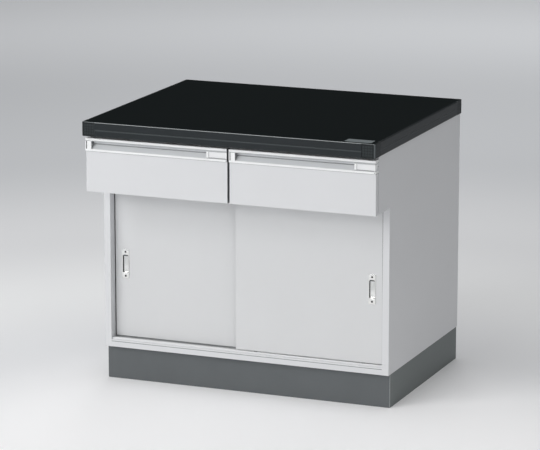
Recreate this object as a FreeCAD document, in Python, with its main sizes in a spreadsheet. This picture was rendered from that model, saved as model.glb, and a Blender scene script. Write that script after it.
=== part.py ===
"""Wall lab bench: worktop, cupboard carcass, two drawers, two sliding doors and a plinth.

Millimetres. X runs to the right, Y from the front to the wall, Z up. The origin is on the floor,
in the middle of the footprint.
"""
import FreeCAD
import Part
import Sketcher
import os
from types import SimpleNamespace

# Driving sizes, one cell of the sheet each
SIZES = {
    # Worktop
    "worktop_width": 900.0,
    "worktop_depth": 750.0,
    "bench_height": 800.0,
    "worktop_thickness": 42.0,
    "laminate_thickness": 1.2,
    "edging_thickness": 5.0,
    "edging_chamfer": 1.5,
    "tongue_length": 10.0,
    "tongue_thickness": 3.0,
    "edging_groove_offset": 1.0,
    "edging_groove_width": 2.0,
    "edging_groove_depth": 1.0,
    "corner_leg": 40.0,
    "corner_radius": 6.0,
    "corner_seam": 0.4,
    # Carcass
    "worktop_side_overhang": 4.0,
    "side_thickness": 20.0,
    "worktop_front_overhang": 20.0,
    "worktop_rear_overhang": 5.0,
    "knee_setback": 115.0,
    "drawer_floor_thickness": 15.0,
    "divider_thickness": 20.0,
    "bottom_thickness": 22.0,
    "back_thickness": 6.0,
    "back_recess": 6.0,
    "stretcher_thickness": 20.0,
    "stretcher_width": 80.0,
    "screw_radius": 2.0,
    "screw_length": 36.0,
    "screw_head_radius": 4.5,
    "screw_head_height": 3.0,
    "screw_end_inset": 111.0,
    "screw_clearance": 0.05,
    # Plinth
    "plinth_height": 100.0,
    "plinth_thickness": 18.0,
    "plinth_front_inset": 17.0,
    "plinth_side_inset": 1.0,
    "plinth_rear_inset": 5.0,
    # Shelf
    "shelf_thickness": 20.0,
    "shelf_peg_rise": 226.0,
    "shelf_front_gap": 10.0,
    "shelf_side_gap": 1.0,
    "shelf_rear_gap": 6.0,
    "peg_radius": 2.45,
    "peg_clearance": 0.05,
    "peg_reach": 9.0,
    "peg_collar_radius": 5.0,
    "peg_collar_thickness": 1.0,
    "peg_hole_floor": 9.0,
    "peg_hole_pitch": 32.0,
    "peg_column_inset": 60.0,
    # Drawer fronts and handle rails
    "front_height": 159.0,
    "front_thickness": 20.0,
    "front_rear_gap": 2.0,
    "front_top_gap": 8.0,
    "front_split_gap": 6.0,
    "handle_height": 38.0,
    "handle_proud": 5.0,
    "flange_height": 9.0,
    "flange_thickness": 4.0,
    "flange_hook": 2.0,
    "lip_height": 6.0,
    "lip_thickness": 3.0,
    "grip_back_wall": 7.0,
    "grip_floor_rise": 12.0,
    "rail_tongue_thickness": 4.0,
    "rail_tongue_length": 8.0,
    "cap_wall": 3.0,
    "cap_slit": 2.4,
    "cap_slit_back": 6.0,
    "cap_block": 14.0,
    "card_bar": 7.0,
    "card_window": 52.0,
    "card_end_wall": 4.0,
    "card_border": 3.0,
    "card_pocket_depth": 2.0,
    "card_thickness": 0.4,
    "card_play": 0.3,
    # Drawer boxes
    "box_length": 550.0,
    "box_top_gap": 20.0,
    "box_above_track": 6.0,
    "box_wall": 12.0,
    "box_bottom_thickness": 5.0,
    "box_bottom_rise": 8.0,
    "box_groove_depth": 6.0,
    "box_groove_play": 0.5,
    # Drawer runners
    "runner_gap": 13.0,
    "runner_sheet": 1.5,
    "runner_floor_gap": 4.5,
    "runner_top_play": 0.95,
    "runner_side_play": 0.5,
    "runner_shortfall": 5.0,
    "runner_front_gap": 2.0,
    "rail_height": 34.0,
    "rail_foot_width": 12.0,
    "rail_foot_thickness": 1.2,
    "rail_lip_thickness": 1.2,
    "rail_lip_play": 1.75,
    "rail_lip_end_gap": 4.0,
    "roller_rest_gap": 0.05,
    "roller_axle_radius": 2.5,
    "roller_head_radius": 3.6,
    "roller_head_thickness": 0.5,
    "roller_head_gap": 0.1,
    "roller_head_play": 0.4,
    "bore_clearance": 0.05,
    "front_roller_lift": 1.0,
    "front_roller_inset": 12.0,
    "rear_roller_radius": 9.5,
    "rear_roller_inset": 14.0,
    # Sliding doors and their tracks
    "door_overlap": 62.0,
    "door_thickness": 15.0,
    "door_side_gap": 2.5,
    "door_setback": 10.0,
    "door_spacing": 5.0,
    "door_top_gap": 8.0,
    "door_bottom_gap": 1.5,
    "track_base": 1.5,
    "track_ridge_width": 2.4,
    "track_lip_height": 5.5,
    "track_lip_thickness": 1.5,
    "track_overhang": 4.0,
    "guide_plate": 2.0,
    "guide_fin_thickness": 2.0,
    "guide_fin_drop": 14.0,
    "guide_fin_gap": 1.0,
    # Door wheels
    "wheel_tread_radius": 7.0,
    "wheel_flange_depth": 1.5,
    "wheel_flange_thickness": 1.5,
    "wheel_flange_play": 1.0,
    "wheel_tread_play": 0.3,
    "wheel_rest_gap": 0.05,
    "wheel_axle_radius": 1.5,
    "wheel_inset": 60.0,
    "housing_end_wall": 6.5,
    "housing_roof": 6.5,
    "housing_wall": 1.5,
    "housing_side_play": 0.5,
    "wheel_top_play": 3.0,
    # Flush pulls
    "pull_end_land": 17.0,
    "pull_side_land": 2.5,
    "pull_plate": 1.2,
    "pull_radius": 3.0,
    "cup_height": 54.0,
    "cup_width": 17.0,
    "cup_back_cover": 6.0,
    "cup_wall": 1.0,
    "cup_radius": 4.0,
    "pull_inset": 32.5,
    "pull_rise": 219.0,
    "pull_screw_inset": 7.75,
    "pull_screw_radius": 1.5,
    "pull_screw_length": 11.0,
    "pull_screw_head_radius": 3.0,
    "pull_screw_head_height": 1.2,
}

PEG_HOLE_ROWS = 5
SCREWS_A_STRETCHER = 4
FLOOR = 0.0
SAME_PLACE = 1e-6


class Length:
    """A length or place written as a formula over the cells of the size sheet."""

    def __init__(self, text):
        self.text = text

    def __add__(self, other):
        return Length(f"({self.text} + {formula(other)})")

    def __radd__(self, other):
        return Length(f"({formula(other)} + {self.text})")

    def __sub__(self, other):
        return Length(f"({self.text} - {formula(other)})")

    def __rsub__(self, other):
        return Length(f"({formula(other)} - {self.text})")

    def __mul__(self, factor):
        return Length(f"({self.text} * {formula(factor)})")

    __rmul__ = __mul__

    def __truediv__(self, divisor):
        return Length(f"({self.text} / {formula(divisor)})")

    def __neg__(self):
        return Length(f"(0 - {self.text})")


def formula(value):
    """The formula's text of a Length or of a plain number."""
    return value.text if isinstance(value, Length) else repr(float(value))


doc = FreeCAD.newDocument("wall_lab_bench")
sheet = doc.addObject("Spreadsheet::Sheet", "Sizes")
for row, (alias, size) in enumerate(SIZES.items(), start=1):
    sheet.set(f"A{row}", alias)
    sheet.set(f"B{row}", repr(size))
    sheet.setAlias(f"B{row}", alias)
doc.recompute()
s = SimpleNamespace(**{alias: Length(f"Sizes.{alias}") for alias in SIZES})
nodes = []


def number(value):
    """The present value of a Length or of a plain number."""
    return float(sheet.evalExpression(formula(value)))


def node(piece, name):
    """Names a finished sub-part and keeps it for writing."""
    piece.Label = name
    nodes.append(piece)
    return piece


def place(piece, x=0, y=0, z=0):
    """Ties a piece's position to the sheet."""
    for axis, value in zip("xyz", (x, y, z)):
        piece.setExpression(f"Placement.Base.{axis}", formula(value))


# Shapes that the sub-parts are made of
def board(low, high):
    """A plain board between two opposite corners."""
    box = doc.addObject("Part::Box", "Board")
    for side, start, end in zip(("Length", "Width", "Height"), low, high):
        box.setExpression(side, formula(end - start))
    place(box, *low)
    return box


TURN_TO_AXIS = {
    "x": FreeCAD.Rotation(FreeCAD.Vector(0, 1, 0), 90),
    "y": FreeCAD.Rotation(FreeCAD.Vector(1, 0, 0), -90),
    "z": FreeCAD.Rotation(),
}


def rod(axis, start, radius, length):
    """A round bar from a start point along +X, +Y or +Z."""
    cylinder = doc.addObject("Part::Cylinder", "Rod")
    cylinder.Placement = FreeCAD.Placement(FreeCAD.Vector(), TURN_TO_AXIS[axis])
    cylinder.setExpression("Radius", formula(radius))
    cylinder.setExpression("Height", formula(length))
    place(cylinder, *start)
    return cylinder


def outline_sketch(body, plane, points):
    """A closed outline of straight runs on one of the body's origin planes."""
    sketch = body.newObject("Sketcher::SketchObject", "Outline")
    origin_plane = next(f for f in body.Origin.OriginFeatures if f.Role == f"{plane}_Plane")
    sketch.AttachmentSupport = [(origin_plane, "")]
    sketch.MapMode = "FlatFace"
    corners = [FreeCAD.Vector(number(across), number(up), 0) for across, up in points]
    count = len(corners)
    for i, corner in enumerate(corners):
        sketch.addGeometry(Part.LineSegment(corner, corners[(i + 1) % count]), False)
    for i in range(count):
        sketch.addConstraint(Sketcher.Constraint("Coincident", i, 2, (i + 1) % count, 1))
    for i, (point, corner) in enumerate(zip(points, corners)):
        for kind, value, now in zip(("DistanceX", "DistanceY"), point, corner):
            index = sketch.addConstraint(Sketcher.Constraint(kind, -1, 1, i, 1, now))
            sketch.setExpression(f"Constraints[{index}]", formula(value))
    return sketch


def prism(plane, points, start, length):
    """An outline on the XY, XZ or YZ plane, padded towards +Z, +Y or +X from a start."""
    body = doc.addObject("PartDesign::Body", "Prism")
    pad = body.newObject("PartDesign::Pad", "Pad")
    pad.Profile = outline_sketch(body, plane, points)
    pad.Reversed = plane == "XZ"
    pad.setExpression("Length", formula(length))
    body.Tip = pad
    along = {"XY": "z", "XZ": "y", "YZ": "x"}[plane]
    place(body, **{along: start})
    return body


def turned(axis, points, centre):
    """An outline of (radius, place along the axis) points, turned about the X or Y axis."""
    body = doc.addObject("PartDesign::Body", "Turned")
    flat = points if axis == "y" else [(along, radius) for radius, along in points]
    sketch = outline_sketch(body, "XY", flat)
    turn = body.newObject("PartDesign::Revolution", "Turn")
    turn.Profile = sketch
    turn.ReferenceAxis = (sketch, ["V_Axis" if axis == "y" else "H_Axis"])
    turn.Angle = 360
    body.Tip = turn
    place(body, *centre)
    return body


def rounded(body, direction, radius, keep=None):
    """Rounds the body's edges that run along a direction, or only those that keep accepts."""
    doc.recompute()
    base = body.Tip
    edges = []
    for i, edge in enumerate(base.Shape.Edges, start=1):
        run = edge.Vertexes[-1].Point - edge.Vertexes[0].Point
        if run.cross(direction).Length < SAME_PLACE and (keep is None or keep(edge.CenterOfMass)):
            edges.append(f"Edge{i}")
    fillet = body.newObject("PartDesign::Fillet", "Rounding")
    fillet.Base = (base, edges)
    fillet.setExpression("Radius", formula(radius))
    body.Tip = fillet
    return body


def cut(base, *tools):
    """A base with tools taken away."""
    result = doc.addObject("Part::Cut", "Cut")
    result.Base = base
    result.Tool = tools[0] if len(tools) == 1 else group(*tools)
    return result


def joined(*pieces):
    """Pieces made in one as a single solid."""
    result = doc.addObject("Part::MultiFuse", "Joined")
    result.Shapes = list(pieces)
    return result


def group(*pieces):
    """Separate solids that share one node or one tool."""
    result = doc.addObject("Part::Compound", "Group")
    result.Links = list(pieces)
    return result


# Planes and faces that several sub-parts share
half_width = s.worktop_width / 2
half_depth = s.worktop_depth / 2
worktop_underside = s.bench_height - s.worktop_thickness
carcass_half = half_width - s.worktop_side_overhang
inner_half = carcass_half - s.side_thickness
drawer_face = -half_depth + s.worktop_front_overhang
front_back_face = drawer_face + s.front_thickness
upper_front = front_back_face + s.front_rear_gap
lower_front = drawer_face + s.knee_setback
carcass_rear = half_depth - s.worktop_rear_overhang
back_face = carcass_rear - s.back_recess - s.back_thickness
cupboard_floor = s.plinth_height + s.bottom_thickness
front_top = worktop_underside - s.front_top_gap
drawer_underside = front_top - s.front_height
drawer_floor_top = drawer_underside + s.drawer_floor_thickness
divider_half = s.divider_thickness / 2
stretcher_bottom = worktop_underside - s.stretcher_thickness

shelf_peg_height = cupboard_floor + s.shelf_peg_rise
peg_hole_depth = s.side_thickness - s.peg_hole_floor

# Drawer runners: heights of the track and of the box that runs on it
runner_track = drawer_floor_top + s.runner_floor_gap + s.runner_sheet
box_bottom = runner_track + s.box_above_track
box_rear = front_back_face + s.box_length

# Door planes: the right door runs in front, the left door behind it
front_door_face = lower_front + s.door_setback
rear_door_face = front_door_face + s.door_thickness + s.door_spacing
door_bottom = cupboard_floor + s.track_lip_height + s.door_bottom_gap
door_top = drawer_underside - s.door_top_gap
door_edge = inner_half - s.door_side_gap
door_width = door_edge + s.door_overlap / 2
ridge_top = cupboard_floor + s.track_base + s.wheel_flange_depth + s.wheel_flange_play


def worktop_screw_places():
    """The middle of each worktop screw, in the front and the rear stretcher."""
    first = inner_half - s.screw_end_inset
    middle = s.stretcher_width / 2
    for y in (upper_front + middle, back_face - middle):
        for i in range(SCREWS_A_STRETCHER):
            yield first * (2 * i / (SCREWS_A_STRETCHER - 1) - 1), y


def build_worktop():
    """Board core with a slot all round, laminate skin, edging strips and corner caps."""
    core_x = half_width - s.edging_thickness
    core_y = half_depth - s.edging_thickness
    core_top = s.bench_height - s.laminate_thickness
    tongue_middle = worktop_underside + s.worktop_thickness / 2
    tongue_bottom = tongue_middle - s.tongue_thickness / 2
    tongue_top = tongue_middle + s.tongue_thickness / 2

    slot_x = core_x - s.tongue_length
    slot_y = core_y - s.tongue_length
    slot = cut(
        board((-core_x, -core_y, tongue_bottom), (core_x, core_y, tongue_top)),
        board((-slot_x, -slot_y, tongue_bottom), (slot_x, slot_y, tongue_top)),
    )
    pilot_radius = s.screw_radius + s.screw_clearance
    pilots = [
        rod("z", (x, y, stretcher_bottom), pilot_radius, s.screw_length + s.screw_clearance)
        for x, y in worktop_screw_places()
    ]
    block = board((-core_x, -core_y, worktop_underside), (core_x, core_y, core_top))
    node(cut(cut(block, slot), *pilots), "worktop_core")
    node(board((-core_x, -core_y, core_top), (core_x, core_y, s.bench_height)), "worktop_laminate")

    # Section of the edging: (distance in from the outer face, height)
    groove = tongue_middle - s.edging_groove_offset
    tongue_end = s.edging_thickness + s.tongue_length
    section = [
        (s.edging_chamfer, s.bench_height),
        (s.edging_thickness, s.bench_height),
        (s.edging_thickness, tongue_top),
        (tongue_end, tongue_top),
        (tongue_end, tongue_bottom),
        (s.edging_thickness, tongue_bottom),
        (s.edging_thickness, worktop_underside),
        (s.edging_chamfer, worktop_underside),
        (0, worktop_underside + s.edging_chamfer),
        (0, groove - s.edging_groove_width / 2),
        (s.edging_groove_depth, groove),
        (0, groove + s.edging_groove_width / 2),
        (0, s.bench_height - s.edging_chamfer),
    ]
    strip_end = s.corner_leg + s.corner_seam
    strips = (
        ("edging_front", "YZ", -half_depth, 1, half_width),
        ("edging_rear", "YZ", half_depth, -1, half_width),
        ("edging_left", "XZ", -half_width, 1, half_depth),
        ("edging_right", "XZ", half_width, -1, half_depth),
    )
    for name, plane, outer, inward, half_run in strips:
        points = [(outer + inward * inset, height) for inset, height in section]
        run = 2 * (half_run - strip_end)
        node(prism(plane, points, strip_end - half_run, run), name)

    caps = {}
    for x_name, x_in in (("left", 1), ("right", -1)):
        for y_name, y_in in (("front", 1), ("rear", -1)):
            caps[y_name, x_name] = corner_cap(x_in, y_in, tongue_bottom, tongue_top)
    node(caps["front", "left"], "corner_cap_front_left")
    node(caps["front", "right"], "corner_cap_front_right")
    node(group(caps["rear", "left"], caps["rear", "right"]), "corner_caps_rear")


def corner_cap(x_in, y_in, tongue_bottom, tongue_top):
    """An angle of edging round one corner, with its own tongue."""

    def angle(outer, inner):
        """Plan of an angle between two distances in from the worktop's sides."""
        plan = [
            (outer, outer),
            (s.corner_leg, outer),
            (s.corner_leg, inner),
            (inner, inner),
            (inner, s.corner_leg),
            (outer, s.corner_leg),
        ]
        return [(-x_in * half_width + x_in * x, -y_in * half_depth + y_in * y) for x, y in plan]

    corner = FreeCAD.Vector(number(-x_in * half_width), number(-y_in * half_depth), 0)

    def on_corner(point):
        """Whether an edge's middle is above the worktop's own corner."""
        return FreeCAD.Vector(point.x, point.y, 0).distanceToPoint(corner) < SAME_PLACE

    shell = prism("XY", angle(0, s.edging_thickness), worktop_underside, s.worktop_thickness)
    rounded(shell, FreeCAD.Vector(0, 0, 1), s.corner_radius, keep=on_corner)
    tongue = prism(
        "XY",
        angle(s.edging_thickness, s.edging_thickness + s.tongue_length),
        tongue_bottom,
        tongue_top - tongue_bottom,
    )
    return joined(shell, tongue)


def peg_places():
    """The front and rear columns of shelf pegs."""
    return lower_front + s.peg_column_inset, back_face - s.peg_column_inset


def build_side_panel(name, side):
    """A side panel, notched below the drawers, with columns of peg holes inside."""
    outline = [
        (lower_front, s.plinth_height),
        (carcass_rear, s.plinth_height),
        (carcass_rear, worktop_underside),
        (upper_front, worktop_underside),
        (upper_front, drawer_underside),
        (lower_front, drawer_underside),
    ]
    outer_start = inner_half if side > 0 else -carcass_half
    panel = prism("YZ", outline, outer_start, s.side_thickness)
    hole_start = inner_half if side > 0 else -inner_half - peg_hole_depth
    holes = []
    for y in peg_places():
        for i in range(PEG_HOLE_ROWS):
            height = shelf_peg_height + s.peg_hole_pitch * (i - PEG_HOLE_ROWS // 2)
            holes.append(
                rod("x", (hole_start, y, height), s.peg_radius + s.peg_clearance, peg_hole_depth)
            )
    node(cut(panel, *holes), name)


def build_carcass():
    """Side panels, the boards between them, the shelf and the worktop's stretchers and screws."""
    build_side_panel("side_panel_left", -1)
    build_side_panel("side_panel_right", 1)
    node(
        board((-inner_half, lower_front, s.plinth_height), (inner_half, carcass_rear, cupboard_floor)),
        "bottom_panel",
    )
    node(
        board(
            (-inner_half, back_face, cupboard_floor),
            (inner_half, back_face + s.back_thickness, worktop_underside),
        ),
        "back_panel",
    )
    node(
        board(
            (-inner_half, upper_front, drawer_underside), (inner_half, back_face, drawer_floor_top)
        ),
        "drawer_floor",
    )
    node(
        board((-divider_half, upper_front, drawer_floor_top), (divider_half, back_face, stretcher_bottom)),
        "drawer_divider",
    )

    screws = []
    holes = []
    for x, y in worktop_screw_places():
        shank = rod("z", (x, y, stretcher_bottom), s.screw_radius, s.screw_length)
        head_bottom = stretcher_bottom - s.screw_head_height
        head = rod("z", (x, y, head_bottom), s.screw_head_radius, s.screw_head_height)
        screws.append(joined(shank, head))
        holes.append(
            rod(
                "z",
                (x, y, stretcher_bottom),
                s.screw_radius + s.screw_clearance,
                s.stretcher_thickness,
            )
        )
    stretchers = (
        ("front_stretcher", upper_front, holes[:SCREWS_A_STRETCHER]),
        ("rear_stretcher", back_face - s.stretcher_width, holes[SCREWS_A_STRETCHER:]),
    )
    for name, start, own_holes in stretchers:
        rail = board(
            (-inner_half, start, stretcher_bottom),
            (inner_half, start + s.stretcher_width, worktop_underside),
        )
        node(cut(rail, *own_holes), name)
    node(group(*screws), "worktop_screws")

    shelf_underside = shelf_peg_height + s.peg_radius + s.peg_clearance
    rear_door_back = rear_door_face + s.door_thickness
    shelf_half = inner_half - s.shelf_side_gap
    node(
        board(
            (-shelf_half, rear_door_back + s.shelf_front_gap, shelf_underside),
            (shelf_half, back_face - s.shelf_rear_gap, shelf_underside + s.shelf_thickness),
        ),
        "shelf",
    )
    pegs = []
    for side in (-1, 1):
        for y in peg_places():
            pegs.append(shelf_peg(side, y))
    node(group(*pegs), "shelf_pegs")


def shelf_peg(side, y):
    """A plug-in peg: a pin in the panel and under the shelf, with a collar under the shelf's end."""
    pin_length = peg_hole_depth - s.peg_clearance + s.peg_reach
    collar_length = s.peg_collar_thickness
    if side > 0:
        pin_start = inner_half - s.peg_reach
        collar_start = inner_half - collar_length
    else:
        pin_start = -inner_half + s.peg_reach - pin_length
        collar_start = -inner_half
    pin = rod("x", (pin_start, y, shelf_peg_height), s.peg_radius, pin_length)
    disc = rod("x", (collar_start, y, shelf_peg_height), s.peg_collar_radius, collar_length)
    trim = board(
        (collar_start, y - s.peg_collar_radius, shelf_peg_height + s.peg_radius),
        (collar_start + collar_length, y + s.peg_collar_radius, shelf_peg_height + s.peg_collar_radius),
    )
    return joined(pin, cut(disc, trim))


def build_plinth():
    """Four recessed boards that stand on the floor under the carcass."""
    outer = carcass_half - s.plinth_side_inset
    front = lower_front + s.plinth_front_inset
    rear = carcass_rear - s.plinth_rear_inset
    inner_front = front + s.plinth_thickness
    inner_rear = rear - s.plinth_thickness
    node(board((-outer, front, FLOOR), (outer, inner_front, s.plinth_height)), "plinth_front")
    node(board((-outer, inner_rear, FLOOR), (outer, rear, s.plinth_height)), "plinth_rear")
    inner = outer - s.plinth_thickness
    sides = [
        board((start, inner_front, FLOOR), (start + s.plinth_thickness, inner_rear, s.plinth_height))
        for start in (-outer, inner)
    ]
    node(group(*sides), "plinth_sides")


def grip_outline(front, bottom):
    """Section of the finger grip in a handle rail: (Y, Z) points."""
    lip_top = bottom + s.lip_height
    flange_bottom = bottom + s.handle_height - s.flange_height
    hook_top = flange_bottom + s.flange_hook
    grip_back = front_back_face - s.grip_back_wall
    return [
        (front, flange_bottom),
        (front + s.flange_thickness, flange_bottom),
        (front + s.flange_thickness, hook_top),
        (grip_back, hook_top),
        (grip_back, lip_top + s.grip_floor_rise),
        (front + s.lip_thickness, lip_top),
        (front, lip_top),
    ]


def build_drawer_front(name, low, high):
    """Front board, white handle rail on its top edge, end cap, card holder and blank card."""
    rail_bottom = front_top - s.handle_height
    rail_front = drawer_face - s.handle_proud
    tongue_middle = drawer_face + s.front_thickness / 2
    tongue_front = tongue_middle - s.rail_tongue_thickness / 2
    tongue_back = tongue_middle + s.rail_tongue_thickness / 2
    tongue_bottom = rail_bottom - s.rail_tongue_length

    panel = board((low, drawer_face, drawer_underside), (high, front_back_face, rail_bottom))
    groove = board((low, tongue_front, tongue_bottom), (high, tongue_back, rail_bottom))
    node(cut(panel, groove), f"{name}_front")

    section = [
        (rail_front, rail_bottom),
        (tongue_front, rail_bottom),
        (tongue_front, tongue_bottom),
        (tongue_back, tongue_bottom),
        (tongue_back, rail_bottom),
        (front_back_face, rail_bottom),
        (front_back_face, front_top),
        (rail_front, front_top),
    ]
    grip = grip_outline(rail_front, rail_bottom)
    node(prism("YZ", section + grip, low, high - low), f"{name}_handle_rail")

    cap_length = s.cap_wall + s.cap_slit + s.cap_block
    slit_start = low + s.cap_wall
    slit_back = front_back_face - s.grip_back_wall - s.cap_slit_back
    slit = board(
        (slit_start, rail_front, rail_bottom),
        (slit_start + s.cap_slit, slit_back, front_top),
    )
    node(cut(prism("YZ", grip, low, cap_length), slit), f"{name}_handle_cap")

    holder_length = s.card_bar + s.card_window + s.card_end_wall
    holder_start = high - holder_length
    window_start = holder_start + s.card_bar
    window_end = window_start + s.card_window
    window_bottom = rail_bottom + s.lip_height + s.card_border
    window_top = front_top - s.flange_height - s.card_border
    pocket_back = rail_front + s.card_pocket_depth
    pocket = board(
        (window_start, rail_front, window_bottom),
        (window_end, pocket_back, window_top),
    )
    node(cut(prism("YZ", grip, holder_start, holder_length), pocket), f"{name}_card_holder")
    card = board(
        (window_start + s.card_play, pocket_back - s.card_thickness, window_bottom + s.card_play),
        (window_end - s.card_play, pocket_back, window_top - s.card_play),
    )
    node(card, f"{name}_label_card")


def build_drawer_box(name, bay_low, bay_high):
    """Sides with a groove for the bottom, the bottom, and the back that stands on it."""
    low = bay_low + s.runner_gap
    high = bay_high - s.runner_gap
    top = stretcher_bottom - s.box_top_gap
    inner_low = low + s.box_wall
    inner_high = high - s.box_wall
    panel_bottom = box_bottom + s.box_bottom_rise
    panel_top = panel_bottom + s.box_bottom_thickness

    sides = []
    for start, groove_start in ((low, inner_low - s.box_groove_depth), (inner_high, inner_high)):
        wall = board((start, front_back_face, box_bottom), (start + s.box_wall, box_rear, top))
        groove = board(
            (groove_start, front_back_face, panel_bottom),
            (groove_start + s.box_groove_depth, box_rear, panel_top),
        )
        sides.append(cut(wall, groove))
    node(group(*sides), f"{name}_sides")

    reach = s.box_groove_depth - s.box_groove_play
    node(
        board(
            (inner_low - reach, front_back_face, panel_bottom), (inner_high + reach, box_rear, panel_top)
        ),
        f"{name}_bottom",
    )
    node(
        board((inner_low, box_rear - s.box_wall, panel_top), (inner_high, box_rear, top)),
        f"{name}_back",
    )


def roller(radius, width, centre):
    """A plain roller on its axle, turning about X."""
    half = width / 2
    bore = s.roller_axle_radius + s.bore_clearance
    return turned("x", [(bore, -half), (radius, -half), (radius, half), (bore, half)], centre)


def bar_along_x(wall, inward, start, end, y, z, radius):
    """A round bar between two distances from a bay's wall, on whichever side the wall is."""
    low = wall + start if inward > 0 else wall - end
    return rod("x", (low, y, z), radius, end - start)


def runner_set(wall, inward):
    """One side's fixed channel, drawer rail, front roller and rear roller, from the bay's wall inward."""
    rear_roller_z = runner_track + s.rear_roller_radius + s.roller_rest_gap
    track_top = rear_roller_z + s.rear_roller_radius + s.runner_top_play
    lip_top = track_top - s.rail_lip_play
    lip_bottom = lip_top - s.rail_lip_thickness
    front_roller_bottom = runner_track + s.front_roller_lift
    front_roller_radius = (lip_bottom - s.roller_rest_gap - front_roller_bottom) / 2
    front_roller_z = front_roller_bottom + front_roller_radius
    channel_start = upper_front + s.runner_front_gap
    front_roller_y = channel_start + s.front_roller_inset
    rear_roller_y = box_rear - s.rear_roller_inset

    # Distances in from the bay's wall
    rail_back = s.runner_gap
    rail_face = rail_back - s.runner_sheet
    flange_reach = rail_face - s.runner_side_play
    roller_side_gap = s.roller_head_gap + s.roller_head_thickness + s.roller_head_play
    roller_start = s.runner_sheet + roller_side_gap
    roller_end = rail_face - roller_side_gap
    roller_width = roller_end - roller_start
    roller_x = wall + inward * (roller_start + roller_width / 2)

    def section(points):
        """Points given by their distance from the wall, as (X, Z)."""
        return [(wall + inward * inset, height) for inset, height in points]

    channel = prism(
        "XZ",
        section(
            [
                (0, runner_track - s.runner_sheet),
                (flange_reach, runner_track - s.runner_sheet),
                (flange_reach, runner_track),
                (s.runner_sheet, runner_track),
                (s.runner_sheet, track_top),
                (flange_reach, track_top),
                (flange_reach, track_top + s.runner_sheet),
                (0, track_top + s.runner_sheet),
            ]
        ),
        channel_start,
        s.box_length - s.runner_shortfall,
    )
    front_head = roller_end + s.roller_head_gap
    front_head_end = front_head + s.roller_head_thickness
    front_axle = bar_along_x(
        wall, inward, 0, front_head_end, front_roller_y, front_roller_z, s.roller_axle_radius
    )
    front_stop = bar_along_x(
        wall, inward, front_head, front_head_end, front_roller_y, front_roller_z, s.roller_head_radius
    )

    foot_bottom = box_bottom - s.rail_foot_thickness
    rail = prism(
        "XZ",
        section(
            [
                (rail_face, foot_bottom),
                (rail_back + s.rail_foot_width, foot_bottom),
                (rail_back + s.rail_foot_width, box_bottom),
                (rail_back, box_bottom),
                (rail_back, foot_bottom + s.rail_height),
                (rail_face, foot_bottom + s.rail_height),
            ]
        ),
        front_back_face,
        s.box_length,
    )
    lip_end = rear_roller_y - s.rear_roller_radius - s.rail_lip_end_gap
    lip = prism(
        "XZ",
        section(
            [
                (roller_start, lip_bottom),
                (rail_back, lip_bottom),
                (rail_back, lip_top),
                (roller_start, lip_top),
            ]
        ),
        front_back_face,
        lip_end - front_back_face,
    )
    rear_head_end = roller_start - s.roller_head_gap
    rear_head = rear_head_end - s.roller_head_thickness
    rear_axle = bar_along_x(
        wall, inward, rear_head, rail_back, rear_roller_y, rear_roller_z, s.roller_axle_radius
    )
    rear_stop = bar_along_x(
        wall, inward, rear_head, rear_head_end, rear_roller_y, rear_roller_z, s.roller_head_radius
    )
    return SimpleNamespace(
        channel=joined(channel, front_axle, front_stop),
        rail=joined(rail, lip, rear_axle, rear_stop),
        front_roller=roller(
            front_roller_radius, roller_width, (roller_x, front_roller_y, front_roller_z)
        ),
        rear_roller=roller(
            s.rear_roller_radius, roller_width, (roller_x, rear_roller_y, rear_roller_z)
        ),
    )


def build_drawers():
    """Both drawers, each with its front, box, runners and rollers."""
    half_split = s.front_split_gap / 2
    drawers = (
        ("left_drawer", -carcass_half, -half_split, -inner_half, -divider_half),
        ("right_drawer", half_split, carcass_half, divider_half, inner_half),
    )
    channels = []
    for name, front_low, front_high, bay_low, bay_high in drawers:
        build_drawer_front(name, front_low, front_high)
        build_drawer_box(name, bay_low, bay_high)
        runners = (runner_set(bay_low, 1), runner_set(bay_high, -1))
        channels += [runner.channel for runner in runners]
        node(group(*(runner.rail for runner in runners)), f"{name}_runner_rails")
        node(group(*(runner.front_roller for runner in runners)), f"{name}_front_rollers")
        node(group(*(runner.rear_roller for runner in runners)), f"{name}_rear_rollers")
    node(group(*channels), "fixed_runners")


def door_middle(face):
    """The middle of a door's thickness."""
    return face + s.door_thickness / 2


def build_tracks():
    """The lower track with a ridge a door, and the upper guide with three fins."""
    track_front = front_door_face - s.track_overhang
    track_rear = rear_door_face + s.door_thickness + s.track_overhang
    base_top = cupboard_floor + s.track_base
    lip_top = cupboard_floor + s.track_lip_height
    outline = [
        (track_rear, base_top),
        (track_rear, cupboard_floor),
        (track_front, cupboard_floor),
        (track_front, lip_top),
        (track_front + s.track_lip_thickness, lip_top),
        (track_front + s.track_lip_thickness, base_top),
    ]
    for face in (front_door_face, rear_door_face):
        ridge_front = door_middle(face) - s.track_ridge_width / 2
        ridge_rear = ridge_front + s.track_ridge_width
        outline += [
            (ridge_front, base_top),
            (ridge_front, ridge_top),
            (ridge_rear, ridge_top),
            (ridge_rear, base_top),
        ]
    node(prism("YZ", outline, -inner_half, 2 * inner_half), "lower_track")

    plate_bottom = drawer_underside - s.guide_plate
    fin_bottom = drawer_underside - s.guide_fin_drop
    fin = s.guide_fin_thickness
    front_fin = front_door_face - s.guide_fin_gap - fin
    middle_fin = rear_door_face - s.door_spacing / 2 - fin / 2
    rear_fin = rear_door_face + s.door_thickness + s.guide_fin_gap
    outline = [
        (rear_fin + fin, drawer_underside),
        (front_fin, drawer_underside),
        (front_fin, fin_bottom),
        (front_fin + fin, fin_bottom),
        (front_fin + fin, plate_bottom),
        (middle_fin, plate_bottom),
        (middle_fin, fin_bottom),
        (middle_fin + fin, fin_bottom),
        (middle_fin + fin, plate_bottom),
        (rear_fin, plate_bottom),
        (rear_fin, fin_bottom),
        (rear_fin + fin, fin_bottom),
    ]
    node(prism("YZ", outline, -inner_half, 2 * inner_half), "upper_track")


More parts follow.
